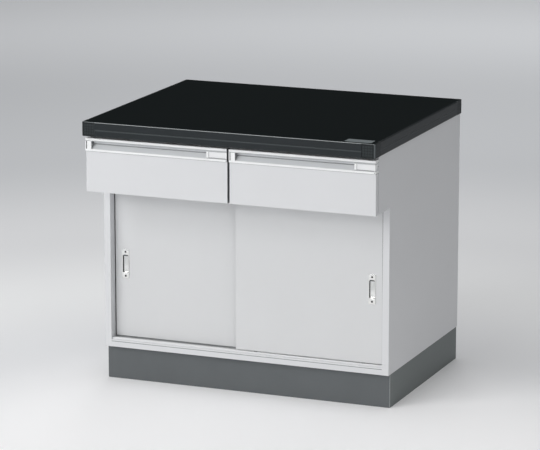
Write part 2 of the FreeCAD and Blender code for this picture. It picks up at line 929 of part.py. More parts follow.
def rounded_plate(width, height, centre, front, thickness, radius):
    """An upright plate with round corners, from its front face backwards."""
    x, z = centre
    outline = [
        (x - width / 2, z - height / 2),
        (x + width / 2, z - height / 2),
        (x + width / 2, z + height / 2),
        (x - width / 2, z + height / 2),
    ]
    return rounded(prism("XZ", outline, front, thickness), FreeCAD.Vector(0, 1, 0), radius)


def build_pull(name, centre, face):
    """A flush pull, a plate with a drawn cup, and its screws: returns what they take out of the door."""
    plate_front = face - s.pull_plate
    plate_width = s.cup_width + 2 * s.pull_side_land
    plate_height = s.cup_height + 2 * s.pull_end_land
    cup_outer = (s.cup_width + 2 * s.cup_wall, s.cup_height + 2 * s.cup_wall)
    cup_depth = s.door_thickness - s.cup_back_cover
    outer_radius = s.cup_radius + s.cup_wall
    plate = rounded_plate(plate_width, plate_height, centre, plate_front, s.pull_plate, s.pull_radius)
    cup = rounded_plate(*cup_outer, centre, face, cup_depth, outer_radius)
    hollow_depth = s.pull_plate + cup_depth - s.cup_wall
    hollow = rounded_plate(s.cup_width, s.cup_height, centre, plate_front, hollow_depth, s.cup_radius)

    x, z = centre
    hole_radius = s.pull_screw_radius + s.screw_clearance
    screws = []
    plate_holes = []
    door_holes = []
    for up in (-1, 1):
        height = z + up * (plate_height / 2 - s.pull_screw_inset)
        shank = rod("y", (x, plate_front, height), s.pull_screw_radius, s.pull_screw_length)
        head_front = plate_front - s.pull_screw_head_height
        head = rod("y", (x, head_front, height), s.pull_screw_head_radius, s.pull_screw_head_height)
        screws.append(joined(shank, head))
        plate_holes.append(rod("y", (x, plate_front, height), hole_radius, s.pull_plate))
        hole_depth = s.pull_screw_length - s.pull_plate + s.screw_clearance
        door_holes.append(rod("y", (x, face, height), hole_radius, hole_depth))
    node(cut(joined(plate, cup), hollow, *plate_holes), f"{name}_pull")
    node(group(*screws), f"{name}_pull_screws")
    return [cup, *door_holes]


def build_wheel(name, side, x, middle):
    """A grooved wheel in its housing: returns the housing and the block it takes out of the door."""
    wheel_z = ridge_top + s.wheel_tread_radius + s.wheel_rest_gap
    flange_radius = s.wheel_tread_radius + s.wheel_flange_depth
    tread_half = s.track_ridge_width / 2 + s.wheel_tread_play
    half = tread_half + s.wheel_flange_thickness
    bore = s.wheel_axle_radius + s.bore_clearance
    outline = [
        (bore, -half),
        (flange_radius, -half),
        (flange_radius, -tread_half),
        (s.wheel_tread_radius, -tread_half),
        (s.wheel_tread_radius, tread_half),
        (flange_radius, tread_half),
        (flange_radius, half),
        (bore, half),
    ]
    node(turned("y", outline, (x, middle, wheel_z)), f"{name}_wheel_{side}")

    slot_half = half + s.housing_side_play
    outer_half = slot_half + s.housing_wall
    slot_reach = flange_radius + s.wheel_top_play
    slot_top = wheel_z + slot_reach
    housing_half = slot_reach + s.housing_end_wall
    low = (x - housing_half, middle - outer_half, door_bottom)
    high = (x + housing_half, middle + outer_half, slot_top + s.housing_roof)
    slot = board(
        (x - slot_reach, middle - slot_half, door_bottom),
        (x + slot_reach, middle + slot_half, slot_top),
    )
    axle = rod("y", (x, middle - outer_half, wheel_z), s.wheel_axle_radius, 2 * outer_half)
    block = board(low, high)
    return joined(cut(block, slot), axle), block


def build_door(name, low, face, pull_x):
    """A sliding door: panel, flush pull, and two wheels in housings let into its bottom edge."""
    high = low + door_width
    tools = build_pull(name, (pull_x, door_bottom + s.pull_rise), face)
    housings = []
    for side, x in (("left", low + s.wheel_inset), ("right", high - s.wheel_inset)):
        housing, mortise = build_wheel(name, side, x, door_middle(face))
        housings.append(housing)
        tools.append(mortise)
    node(group(*housings), f"{name}_wheel_housings")
    panel = board((low, face, door_bottom), (high, face + s.door_thickness, door_top))
    node(cut(panel, *tools), f"{name}_panel")


def build_doors():
    """The left door on the rear ridge, the right door on the front one."""
    build_door("left_door", -door_edge, rear_door_face, -door_edge + s.pull_inset)
    build_door("right_door", door_edge - door_width, front_door_face, door_edge - s.pull_inset)


def check_and_write():
    """Stops on any failed object, then writes each sub-part to its own file."""
    doc.recompute()
    for piece in doc.Objects:
        if "Invalid" in piece.State or "Error" in piece.State:
            raise RuntimeError(f"{piece.Label} failed: {piece.State}")
    for piece in nodes:
        if piece.Shape.isNull() or not piece.Shape.isValid():
            raise RuntimeError(f"{piece.Label} has no valid shape")
    os.makedirs("parts", exist_ok=True)
    for piece in nodes:
        piece.Shape.exportStep(f"parts/{piece.Label}.step")
    print(f"{len(nodes)} sub-parts written")


build_worktop()
build_carcass()
build_plinth()
build_drawers()
build_tracks()
build_doors()
check_and_write()
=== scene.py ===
"""Dresses the wall lab bench: finishes for its solids, finer fittings, studio light and camera."""

import logging
import math
from dataclasses import dataclass, replace
from enum import Enum
from itertools import product
from typing import Mapping, Sequence

import bmesh
import bpy
from mathutils import Matrix, Vector


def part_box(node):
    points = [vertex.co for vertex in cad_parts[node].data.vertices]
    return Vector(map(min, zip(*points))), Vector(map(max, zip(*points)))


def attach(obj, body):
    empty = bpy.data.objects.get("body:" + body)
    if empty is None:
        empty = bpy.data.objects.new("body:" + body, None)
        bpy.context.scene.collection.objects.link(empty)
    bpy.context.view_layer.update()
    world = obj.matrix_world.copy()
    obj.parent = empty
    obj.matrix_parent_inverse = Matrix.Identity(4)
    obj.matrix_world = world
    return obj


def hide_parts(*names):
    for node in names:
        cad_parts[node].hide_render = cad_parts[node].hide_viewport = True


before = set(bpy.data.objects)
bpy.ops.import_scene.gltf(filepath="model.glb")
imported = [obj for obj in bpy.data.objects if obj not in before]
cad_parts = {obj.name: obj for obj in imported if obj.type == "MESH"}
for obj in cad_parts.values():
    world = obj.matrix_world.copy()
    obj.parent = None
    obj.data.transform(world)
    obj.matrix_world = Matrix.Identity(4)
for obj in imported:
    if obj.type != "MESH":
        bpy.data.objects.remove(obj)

LOG = logging.getLogger("wall_lab_bench")
MM = 0.001
# Further out than any point of the bench, in millimetres
BEYOND = 1000.0
# An edge of a new piece stays sharp from this angle on, in degrees
SHARP_FROM = 32.0
# Turns a shape that lies on the floor plan so that it faces the front
UPRIGHT = Matrix.Rotation(math.radians(90), 4, "X")

Tree = bpy.types.NodeTree
Socket = bpy.types.NodeSocket
Shape = bmesh.types.BMesh
Edges = list[bmesh.types.BMEdge]
Corners = list[bmesh.types.BMVert]
Point = tuple[float, float, float]
Settings = Mapping[str, object]
Inputs = Mapping[str | int, object]

# Ways that a face can look
TO_RIGHT: Point = (1.0, 0.0, 0.0)
TO_LEFT: Point = (-1.0, 0.0, 0.0)
TO_FLOOR: Point = (0.0, 0.0, -1.0)
TO_FRONT_AND_UP: Point = (0.0, -0.7071, 0.7071)
TO_FRONT_AND_RIGHT: Point = (0.7071, -0.7071, 0.0)


class Side(Enum):
    """The two drawers and the two doors."""

    LEFT = "left"
    RIGHT = "right"


def linear(hex_colour: str) -> tuple[float, float, float, float]:
    """Turns an sRGB hex colour into the linear colour of a shader, by the sRGB standard's curve.

    Args:
        hex_colour: six hex digits after a #.

    Returns:
        Linear red, green and blue, and an alpha of one.
    """
    channels = [int(hex_colour[i:i + 2], 16) / 255 for i in (1, 3, 5)]
    red, green, blue = (c / 12.92 if c <= 0.04045 else ((c + 0.055) / 1.055) ** 2.4 for c in channels)
    return red, green, blue, 1.0


def add_node(
    tree: Tree, kind: str, settings: Settings | None = None, inputs: Inputs | None = None
) -> bpy.types.Node:
    """Adds a node with its settings, its input values and its links.

    Args:
        tree: the material's or the world's node tree.
        kind: the node's type name.
        settings: values of the node's own properties.
        inputs: a value or an output socket for each named or numbered input.

    Returns:
        The new node.
    """
    node = tree.nodes.new(kind)
    for key, value in (settings or {}).items():
        setattr(node, key, value)
    for key, value in (inputs or {}).items():
        if isinstance(value, Socket):
            tree.links.new(value, node.inputs[key])
        else:
            node.inputs[key].default_value = value
    return node


@dataclass(frozen=True)
class Trim:
    """A second tone on part of a finish.

    Attributes:
        tone: the sRGB colour of that part.
    """

    tone: str

    def mask(self, tree: Tree, coords: Socket) -> Socket:
        """Where the tone lies.

        Args:
            tree: the material's node tree.
            coords: object coordinates.

        Returns:
            The socket that gives one inside the trim and zero outside it.
        """
        raise NotImplementedError

    def over(self, tree: Tree, coords: Socket, colour: Socket) -> Socket:
        """Lays the tone over a colour.

        Args:
            tree: the material's node tree.
            coords: object coordinates.
            colour: the colour under the trim.

        Returns:
            The socket that gives both together.
        """
        mixed = add_node(
            tree, "ShaderNodeMix", {"data_type": "RGBA"},
            {0: self.mask(tree, coords), 6: colour, 7: linear(self.tone)},
        )
        return mixed.outputs[2]


@dataclass(frozen=True)
class Band(Trim):
    """A level band, such as a seam, or painted shade in a channel or a crease, in millimetres.

    Attributes:
        low: its lowest point above the floor.
        high: its highest point above the floor.
        front: the band lies only behind this plane.
        back: the band lies only before this plane.
        soft: the height over which each of its level edges fades out.
    """

    low: float = 0.0
    high: float = 0.0
    front: float = -BEYOND
    back: float = BEYOND
    soft: float = 0.3

    def mask(self, tree: Tree, coords: Socket) -> Socket:
        """Points at the band's height and between its planes.

        Args:
            tree: the material's node tree.
            coords: object coordinates.

        Returns:
            The socket that gives one in the band.
        """
        axes = add_node(tree, "ShaderNodeSeparateXYZ", None, {"Vector": coords})
        offset = add_node(
            tree, "ShaderNodeMath", {"operation": "SUBTRACT"},
            {0: axes.outputs["Z"], 1: (self.low + self.high) / 2 * MM},
        )
        away = add_node(tree, "ShaderNodeMath", {"operation": "ABSOLUTE"}, {0: offset.outputs["Value"]})
        half = (self.high - self.low) / 2
        level = add_node(
            tree, "ShaderNodeMapRange", None,
            {
                "Value": away.outputs["Value"], "From Min": (half - self.soft / 2) * MM,
                "From Max": (half + self.soft / 2) * MM, "To Min": 1.0, "To Max": 0.0,
            },
        )
        between = add_node(
            tree, "ShaderNodeMath", {"operation": "COMPARE"},
            {
                0: axes.outputs["Y"], 1: (self.front + self.back) / 2 * MM,
                2: (self.back - self.front) / 2 * MM,
            },
        )
        both = add_node(
            tree, "ShaderNodeMath", {"operation": "MULTIPLY"},
            {0: level.outputs["Result"], 1: between.outputs["Value"]},
        )
        return both.outputs["Value"]


@dataclass(frozen=True)
class Facing(Trim):
    """The faces that look one way, such as cut ends, or edges with a painted highlight, or walls and ends
    with painted shade.

    Attributes:
        direction: the way that they look, of length one.
        least: the least cosine between such a face and the direction.
        within: the most that they lie to either side of the bench's middle, in millimetres.
    """

    direction: Point = TO_FLOOR
    least: float = 0.7
    within: float = BEYOND

    def mask(self, tree: Tree, coords: Socket) -> Socket:
        """Faces near the direction and near the bench's middle.

        Args:
            tree: the material's node tree.
            coords: object coordinates.

        Returns:
            The socket that gives one on such faces.
        """
        normal = add_node(tree, "ShaderNodeNewGeometry").outputs["True Normal"]
        cosine = add_node(
            tree, "ShaderNodeVectorMath", {"operation": "DOT_PRODUCT"}, {0: normal, 1: self.direction}
        )
        near = add_node(
            tree, "ShaderNodeMath", {"operation": "GREATER_THAN"}, {0: cosine.outputs["Value"], 1: self.least}
        )
        across = add_node(tree, "ShaderNodeSeparateXYZ", None, {"Vector": coords}).outputs["X"]
        inside = add_node(
            tree, "ShaderNodeMath", {"operation": "COMPARE"}, {0: across, 1: 0.0, 2: self.within * MM}
        )
        both = add_node(
            tree, "ShaderNodeMath", {"operation": "MULTIPLY"},
            {0: near.outputs["Value"], 1: inside.outputs["Value"]},
        )
        return both.outputs["Value"]


@dataclass(frozen=True)
class Finish:
    """A finish with a slow drift between two tones and a fine grain in its surface.

    Attributes:
        name: the material's name.
        tones: the two sRGB colours that the surface drifts between.
        drift_mm: the width of a patch of one tone.
        roughness: the least and the greatest roughness.
        grain_mm: the width of one grain.
        grain_depth_mm: how deep the grain looks.
        metallic: one for bare or plated metal.
        specular: the strength of the clear reflection, a half for common plastics.
        trims: second tones, each laid over those before it.
        drift_detail: the number of finer layers in the drift.
        drift_gain: the strength of each finer layer of the drift.
        grain_detail: the number of finer layers in the grain.
        grain_gain: the strength of each finer layer of the grain.
    """

    name: str
    tones: tuple[str, str]
    drift_mm: float
    roughness: tuple[float, float]
    grain_mm: float
    grain_depth_mm: float
    metallic: float = 0.0
    specular: float = 0.5
    trims: tuple[Trim, ...] = ()
    drift_detail: float = 3.0
    drift_gain: float = 0.55
    grain_detail: float = 2.0
    grain_gain: float = 0.6

    def grain(self, tree: Tree, coords: Socket) -> Socket:
        """The height of the surface, from zero to one.

        Args:
            tree: the material's node tree.
            coords: object coordinates.

        Returns:
            The socket that gives the height.
        """
        noise = add_node(
            tree, "ShaderNodeTexNoise", None,
            {
                "Vector": coords, "Scale": 1 / (self.grain_mm * MM),
                "Detail": self.grain_detail, "Roughness": self.grain_gain,
            },
        )
        return noise.outputs["Fac"]

    def tone(self, tree: Tree, coords: Socket) -> Socket:
        """How far the colour has drifted from the first tone to the second.

        Args:
            tree: the material's node tree.
            coords: object coordinates.

        Returns:
            The socket that gives the share of the second tone.
        """
        noise = add_node(
            tree, "ShaderNodeTexNoise", None,
            {
                "Vector": coords, "Scale": 1 / (self.drift_mm * MM),
                "Detail": self.drift_detail, "Roughness": self.drift_gain,
            },
        )
        return noise.outputs["Fac"]

    def colour(self, tree: Tree, coords: Socket) -> Socket:
        """The surface's colour, with its trims.

        Args:
            tree: the material's node tree.
            coords: object coordinates.

        Returns:
            The socket that gives the colour.
        """
        mixed = add_node(
            tree, "ShaderNodeMix", {"data_type": "RGBA"},
            {0: self.tone(tree, coords), 6: linear(self.tones[0]), 7: linear(self.tones[1])},
        )
        colour = mixed.outputs[2]
        for trim in self.trims:
            colour = trim.over(tree, coords, colour)
        return colour

    def material(self) -> bpy.types.Material:
        """Builds the finish's material.

        Returns:
            The material, with its shader, tones, gloss and grain.
        """
        material = bpy.data.materials.new(self.name)
        material.use_nodes = True
        tree = material.node_tree
        shader = tree.nodes["Principled BSDF"]
        coords = add_node(tree, "ShaderNodeTexCoord").outputs["Object"]
        height = self.grain(tree, coords)
        gloss = add_node(
            tree, "ShaderNodeMapRange", None,
            {"Value": height, "To Min": self.roughness[0], "To Max": self.roughness[1]},
        )
        bump = add_node(
            tree, "ShaderNodeBump", None,
            {"Height": height, "Distance": self.grain_depth_mm * MM, "Strength": 1.0},
        )
        tree.links.new(self.colour(tree, coords), shader.inputs["Base Color"])
        tree.links.new(gloss.outputs["Result"], shader.inputs["Roughness"])
        tree.links.new(bump.outputs["Normal"], shader.inputs["Normal"])
        shader.inputs["Metallic"].default_value = self.metallic
        shader.inputs["Specular IOR Level"].default_value = self.specular
        return material


@dataclass(frozen=True)
class PebbledFinish(Finish):
    """A pressed surface of small rounded pebbles, as on high-pressure laminate.

    Attributes:
        smoothness: how far the pebbles run into each other.
    """

    smoothness: float = 0.6

    def grain(self, tree: Tree, coords: Socket) -> Socket:
        """The height of the pebbles.

        Args:
            tree: the material's node tree.
            coords: object coordinates.

        Returns:
            The socket that gives the height.
        """
        pebbles = add_node(
            tree, "ShaderNodeTexVoronoi", {"feature": "SMOOTH_F1"},
            {"Vector": coords, "Scale": 1 / (self.grain_mm * MM), "Smoothness": self.smoothness},
        )
        return pebbles.outputs["Distance"]


@dataclass(frozen=True)
class FlakedFinish(Finish):
    """Pressed wood chips of mixed tones, as on the raw face of chipboard."""

    def tone(self, tree: Tree, coords: Socket) -> Socket:
        """A tone for each chip.

        Args:
            tree: the material's node tree.
            coords: object coordinates.

        Returns:
            The socket that gives the share of the second tone.
        """
        chips = add_node(
            tree, "ShaderNodeTexVoronoi", None, {"Vector": coords, "Scale": 1 / (self.drift_mm * MM)}
        )
        return add_node(tree, "ShaderNodeRGBToBW", None, {"Color": chips.outputs["Color"]}).outputs["Val"]


@dataclass(frozen=True)
class StreakedFinish(Finish):
    """Fine polishing streaks that run up the piece, as on plated sheet metal.

    Attributes:
        streak_ratio: a streak's length in widths.
        streak_detail: the number of finer layers in the streaks.
    """

    streak_ratio: float = 30.0
    streak_detail: float = 3.0

    def grain(self, tree: Tree, coords: Socket) -> Socket:
        """The height of the streaks.

        Args:
            tree: the material's node tree.
            coords: object coordinates.

        Returns:
            The socket that gives the height.
        """
        stretched = add_node(
            tree, "ShaderNodeMapping", None, {"Vector": coords, "Scale": (1.0, 1.0, 1 / self.streak_ratio)}
        )
        noise = add_node(
            tree, "ShaderNodeTexNoise", None,
            {
                "Vector": stretched.outputs["Vector"], "Scale": 1 / (self.grain_mm * MM),
                "Detail": self.streak_detail,
            },
        )
        return noise.outputs["Fac"]


class Palette:
    """Every finish of the bench, each built once."""

    # High-pressure laminate, pressed against a textured sheet: a deep black that scatters highlights
    black_laminate = PebbledFinish(
        "Black high-pressure laminate", ("#030C0D", "#050F11"), 60.0, (0.26, 0.34), 1.6, 0.012, specular=0.09
    )
    # Extruded vinyl edging: dark grey with a dull sheen, with a painted highlight on the top edge that looks
    # to the front and up, and a fainter painted highlight band along its groove
    grey_edging = Finish(
        "Dark grey vinyl edging", ("#1B2123", "#20262A"), 45.0, (0.40, 0.52), 1.2, 0.015, specular=0.3,
        trims=(Facing("#B4B9BA", TO_FRONT_AND_UP, 0.93), Band("#353B3D", 774.5, 779.0)),
    )
    # Moulded corner caps: nearly black between their raised squares, with painted highlights on the edges
    # that look to the front and up, and to the front and right
    corner_moulding = Finish(
        "Dark corner moulding", ("#12181A", "#171D1F"), 30.0, (0.42, 0.58), 1.2, 0.015, specular=0.3,
        trims=(Facing("#B0B6B8", TO_FRONT_AND_UP, 0.9), Facing("#62686A", TO_FRONT_AND_RIGHT, 0.9)),
    )
    # The squares themselves: the grey of the edging, a little paler
    corner_squares = replace(
        corner_moulding, name="Dark grey moulded squares", tones=("#262C2E", "#2C3234"), trims=()
    )
    # Melamine-faced board, pressed with a fine pearl: light grey, satin, very even
    grey_board = PebbledFinish(
        "Light grey melamine board", ("#DBDCDE", "#DEDFE1"), 140.0, (0.40, 0.50), 1.8, 0.006
    )
    # The same board as a door, a trace darker as painted shade, with painted shade on the edges where the
    # doors meet, so that they throw less light onto each other
    door_board = replace(
        grey_board, name="Light grey melamine door", tones=("#D7D8D9", "#DADBDC"),
        trims=(Facing("#808285", TO_RIGHT, within=40.0), Facing("#808285", TO_LEFT, within=40.0)),
    )
    # The same board as a drawer front, with the same painted shade on the edges where the drawers meet,
    # darkening the gap between them, and a line of painted shade under the finger grip's lip
    front_board = replace(
        grey_board, name="Light grey melamine front", trims=(*door_board.trims, Band("#9A9C9E", 710.2, 712.1))
    )
    # The same board as the cupboard floor, with the joint of a two-part strip along its front edge
    floor_board = replace(
        grey_board, name="Light grey melamine floor", trims=(Band("#76797C", 115.9, 117.4),)
    )
    # Foil-wrapped drawer board: off-white, smoother than melamine
    drawer_board = Finish(
        "Off-white foil-wrapped board", ("#E2E1DD", "#E7E6E3"), 90.0, (0.38, 0.46), 1.4, 0.004
    )
    # Plinth board with a dark laminate: matt grey with a faint grain from the press; a painted sheen makes
    # its right side paler, and a painted highlight runs along its front right corner
    dark_board = Finish(
        "Dark grey plinth laminate", ("#5E6264", "#65696B"), 70.0, (0.45, 0.58), 1.5, 0.012, specular=0.35,
        trims=(Facing("#727878", TO_RIGHT), Facing("#A0A4A4", TO_FRONT_AND_RIGHT, 0.8)),
    )
    # Extruded white plastic: bright, slightly glossy, with almost no grain
    white_moulding = Finish(
        "White extruded plastic", ("#F6F7F8", "#F9FAFA"), 80.0, (0.26, 0.32), 0.9, 0.003
    )
    # The same plastic as the rail's end cap, with painted shade in its slit and on the end wall of the trough
    cap_moulding = replace(
        white_moulding, name="White moulded end cap", trims=(Facing("#8A8C8E", TO_RIGHT),)
    )
    # The same plastic as a card holder, with painted shade round its window and on its pocket wall, and dark
    # painted shade on its inner end, in the gap between the drawers
    holder_moulding = replace(
        white_moulding, name="White extruded card holder", roughness=(0.28, 0.34),
        trims=(
            Band("#A2A4A6", 718.4, 720.8), Band("#C4C6C8", 738.2, 741.0),
            Band("#6E7072", 718.0, 742.0, -359.8, -357.9), Facing("#3A3C3E", TO_RIGHT, within=10.0),
        ),
    )
    # The same plastic as a finger grip: painted shade greys its trough, most of all in its crease and under
    # the flange's lower edge, and dark painted shade covers its inner end, in the gap between the drawers
    grip_moulding = replace(
        white_moulding, name="White extruded finger grip",
        trims=(
            Band("#DBDDDF", 718.3, 730.0, -357.2), Band("#DEE0E2", 730.0, 743.5, -357.2),
            Band("#8E9092", 729.8, 732.2, -357.2), Band("#BFC1C3", 740.8, 743.4),
            Facing("#3A3C3E", TO_RIGHT, within=10.0),
        ),
    )
    # The same plastic as a door track: the channel behind its front rib, under the left door, is darkened
    # with painted shade
    track_moulding = replace(
        white_moulding, name="White extruded track", tones=("#E6E7E8", "#E9EAEB"), roughness=(0.30, 0.38),
        trims=(Band("#A6A8AA", 122.0, 126.5, -209.0),),
    )
    # Raw chipboard under the laminate: warm chips of many tones, with grey backing paper underneath
    chipboard = FlakedFinish(
        "Raw chipboard", ("#A88757", "#D1B384"), 3.5, (0.75, 0.92), 2.0, 0.12, specular=0.3,
        trims=(Facing("#6E7071", TO_FLOOR),),
    )
    # Plain card: matt white with a trace of fibre
    card = Finish("Plain white card", ("#EFF0F1", "#F3F4F5"), 12.0, (0.80, 0.92), 0.8, 0.01, specular=0.25)
    # Filled nylon of wheels and rollers: mid grey and waxy
    nylon = Finish("Grey filled nylon", ("#8E9092", "#979A9C"), 20.0, (0.34, 0.42), 0.8, 0.004)
    # Sheet steel with baked epoxy powder: white with a trace of orange peel
    coated_steel = Finish(
        "White epoxy-coated steel", ("#DEDEDC", "#E4E4E2"), 60.0, (0.30, 0.38), 2.4, 0.01
    )
    # Zinc-plated screws: dull grey metal
    zinc_steel = Finish(
        "Zinc-plated steel", ("#B4B5B3", "#C4C4C0"), 4.0, (0.28, 0.42), 0.7, 0.006, metallic=1.0
    )
    # Nickel-plated steel pegs: bright, with faint polishing streaks
    bright_metal = StreakedFinish(
        "Bright nickel plate", ("#E2E1DE", "#ECEBE8"), 8.0, (0.22, 0.32), 0.5, 0.002, metallic=1.0
    )
    # Drawn and nickel-plated pulls: nearly a mirror, with painted shade over the upper half of the cup, a
    # line of painted shadow under its top rim and painted shade on the walls that look right, among them the
    # cup's left wall; each door has its own pair of planes
    pull_plate = StreakedFinish(
        "Drawn nickel plate", ("#EDEDEB", "#F3F3F1"), 8.0, (0.10, 0.16), 0.5, 0.001, metallic=1.0,
        trims=(
            Band("#DADBDA", 341.0, 380.0, -229.4, -213.0, 12.0),
            Band("#DADBDA", 341.0, 380.0, -209.4, -190.0, 12.0),
            Band("#4A4C4E", 370.0, 376.0, -229.4, -213.0, 1.0),
            Band("#4A4C4E", 370.0, 376.0, -209.4, -190.0, 1.0),
            Facing("#3C3D3E", TO_RIGHT, 0.72),
        ),
    )
    # Oxidised steel of small screws: dark and dull
    dark_steel = Finish(
        "Dark oxidised steel", ("#3A3B3B", "#474848"), 3.0, (0.35, 0.50), 0.5, 0.004, metallic=1.0
    )
    # Blank printed-film label: mid grey and matt
    grey_film = Finish("Grey label film", ("#6C7375", "#787F81"), 9.0, (0.55, 0.70), 0.8, 0.004, specular=0.3)
    # Soft black plastic of small pins, and of the dark strip of painted shade along the left door's closing
    # edge
    black_plastic = Finish(
        "Black moulded plastic", ("#0B0C0C", "#111212"), 6.0, (0.45, 0.60), 0.6, 0.006, specular=0.3
    )
    # The same plastic with painted shade that fades pale towards the floor, for the strip along the right
    # door's closing edge
    fading_shade_plastic = replace(
        black_plastic, name="Black plastic with fading painted shade", trims=(Band("#C6C8C9", 0.0, 400.0, soft=240.0),)
    )

    def __init__(self) -> None:
        """Starts with no material built."""
        self._built: dict[str, bpy.types.Material] = {}

    def __getitem__(self, name: str) -> bpy.types.Material:
        """The material of a finish, built the first time that it is asked for.

        Args:
            name: the finish's name in this class.

        Returns:
            The material.
        """
        if name not in self._built:
            self._built[name] = getattr(self, name).material()
        return self._built[name]


def add_block(shape: Shape, centre: Vector, size: Vector) -> None:
    """Adds a block to a shape, for its edges to be rounded later.

    Args:
        shape: the mesh that gets the block.
        centre: the block's middle.
        size: its size along the three axes.
    """
    place = Matrix.Translation(centre) @ Matrix.Diagonal((*size, 1.0))
    bmesh.ops.create_cube(shape, size=1.0, matrix=place)


def round_off(
    shape: Shape, geom: Edges | Corners, radius_mm: float, segments: int, affect: str = "EDGES"
) -> None:
    """Rounds some edges or corners of a shape.

    Args:
        shape: the mesh.
        geom: its edges, or its corners.
        radius_mm: how far the rounding reaches from them, in millimetres.
        segments: the number of faces across the rounding.
        affect: EDGES or VERTICES, whichever geom holds.
    """
    bmesh.ops.bevel(
        shape, geom=geom, offset=radius_mm * MM, segments=segments, profile=0.5, affect=affect, material=-1
    )


def front_loop(
    shape: Shape, centre: Vector, width: float, height: float, radius_mm: float, segments: int
) -> Edges:
    """Adds an upright rounded rectangle of edges that faces the front.

    Args:
        shape: the mesh that gets the edges.
        centre: the rectangle's middle.
        width: its size along X.
        height: its size along Z.
        radius_mm: the radius of its corners, in millimetres.
        segments: the number of edges round a corner.

    Returns:
        The edges of the loop.
    """
    place = Matrix.Translation(centre) @ UPRIGHT @ Matrix.Diagonal((width, height, 1.0, 1.0))
    grid = bmesh.ops.create_grid(shape, x_segments=1, y_segments=1, size=0.5, matrix=place)
    round_off(shape, grid["verts"], radius_mm, segments, "VERTICES")
    face = shape.faces[:][-1]
    edges = list(face.edges)
    bmesh.ops.delete(shape, geom=[face], context="FACES_ONLY")
    return edges


def push_back(shape: Shape, edges: Edges, depth_mm: float) -> Edges:
    """Draws walls from a loop of edges towards the rear.

    Args:
        shape: the mesh.
        edges: the loop.
        depth_mm: the depth of the walls, in millimetres.

    Returns:
        The loop at the far end of the walls.
    """
    drawn = bmesh.ops.extrude_edge_only(shape, edges=edges)["geom"]
    verts = [v for v in drawn if isinstance(v, bmesh.types.BMVert)]
    bmesh.ops.translate(shape, verts=verts, vec=(0.0, depth_mm * MM, 0.0))
    ring = set(verts)
    return [e for e in drawn if isinstance(e, bmesh.types.BMEdge) and set(e.verts) <= ring]


def make_piece(
    name: str,
    shape: Shape,
    material: bpy.types.Material,
    body: str,
    replaces: Sequence[str] = (),
) -> None:
    """Turns a finished shape into a piece of the scene.

    Args:
        name: the piece's name.
        shape: its mesh, in place; it is freed here.
        material: its material.
        body: the body that it moves with.
        replaces: the solids that it stands for.
    """
    mesh = bpy.data.meshes.new(name)
    shape.to_mesh(mesh)
    shape.free()
    mesh.materials.append(material)
    mesh.shade_smooth()
    mesh.set_sharp_from_angle(angle=math.radians(SHARP_FROM))
    piece = bpy.data.objects.new(name, mesh)
    bpy.context.scene.collection.objects.link(piece)
    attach(piece, body)
    if replaces:
        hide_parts(*replaces)
    LOG.info("made %s with %d faces", name, len(mesh.polygons))


@dataclass(frozen=True)
class Dressing:
    """What some of the bench's solids wear.

    Attributes:
        finish: the finish's name in the palette.
        edge_mm: the width of their broken edges.
        nodes: their names, less the name of the drawer or door that they belong to.
    """

    finish: str
    edge_mm: float
    nodes: tuple[str, ...]


@dataclass
class SubAssembly:
    """A group of the bench's solids and the fittings that are made finer here.

    Lengths in this class and the ones made from it are in millimetres, and angles in degrees.

    Attributes:
        palette: the bench's finishes.
        dressings: what the group's solids wear.
        body: the body that the group's fittings move with.
        prefix: what the names of the group's solids start with.
        weld: how near two corners of a solid's triangles are one corner.
        flat_angle: how far apart triangles may look and still make one flat face.
        edge_angle: the angle from which an edge is sharp and gets broken.
        edge_segments: the number of faces across a broken edge.
    """

    palette: Palette
    dressings: tuple[Dressing, ...] = ()
    body: str = "bench"
    prefix: str = ""
    weld: float = 0.002
    flat_angle: float = 0.5
    edge_angle: float = 35.0
    edge_segments: int = 3

    def build(self) -> None:
        """Dresses the group's solids."""
        for dressing in self.dressings:
            for node in dressing.nodes:
                self.dress(f"{self.prefix}{node}", dressing.finish, dressing.edge_mm)

    def dress(self, node: str, finish: str, edge_mm: float) -> None:
        """Gives a solid its finish and breaks its sharp edges.

        Args:
            node: the solid's name.
            finish: the finish's name in the palette.
            edge_mm: the width of the broken edge.
        """
        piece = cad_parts[node]
        for slot in piece.material_slots:
            slot.material = self.palette[finish]
        weld = piece.modifiers.new("Joined corners", "WELD")
        weld.merge_threshold = self.weld * MM
        flat = piece.modifiers.new("Whole faces", "DECIMATE")
        flat.decimate_type = "DISSOLVE"
        flat.angle_limit = math.radians(self.flat_angle)
        edges = piece.modifiers.new("Broken edges", "BEVEL")
        edges.width = edge_mm * MM
        edges.segments = self.edge_segments
        edges.limit_method = "ANGLE"
        edges.angle_limit = math.radians(self.edge_angle)
        LOG.info("dressed %s", node)


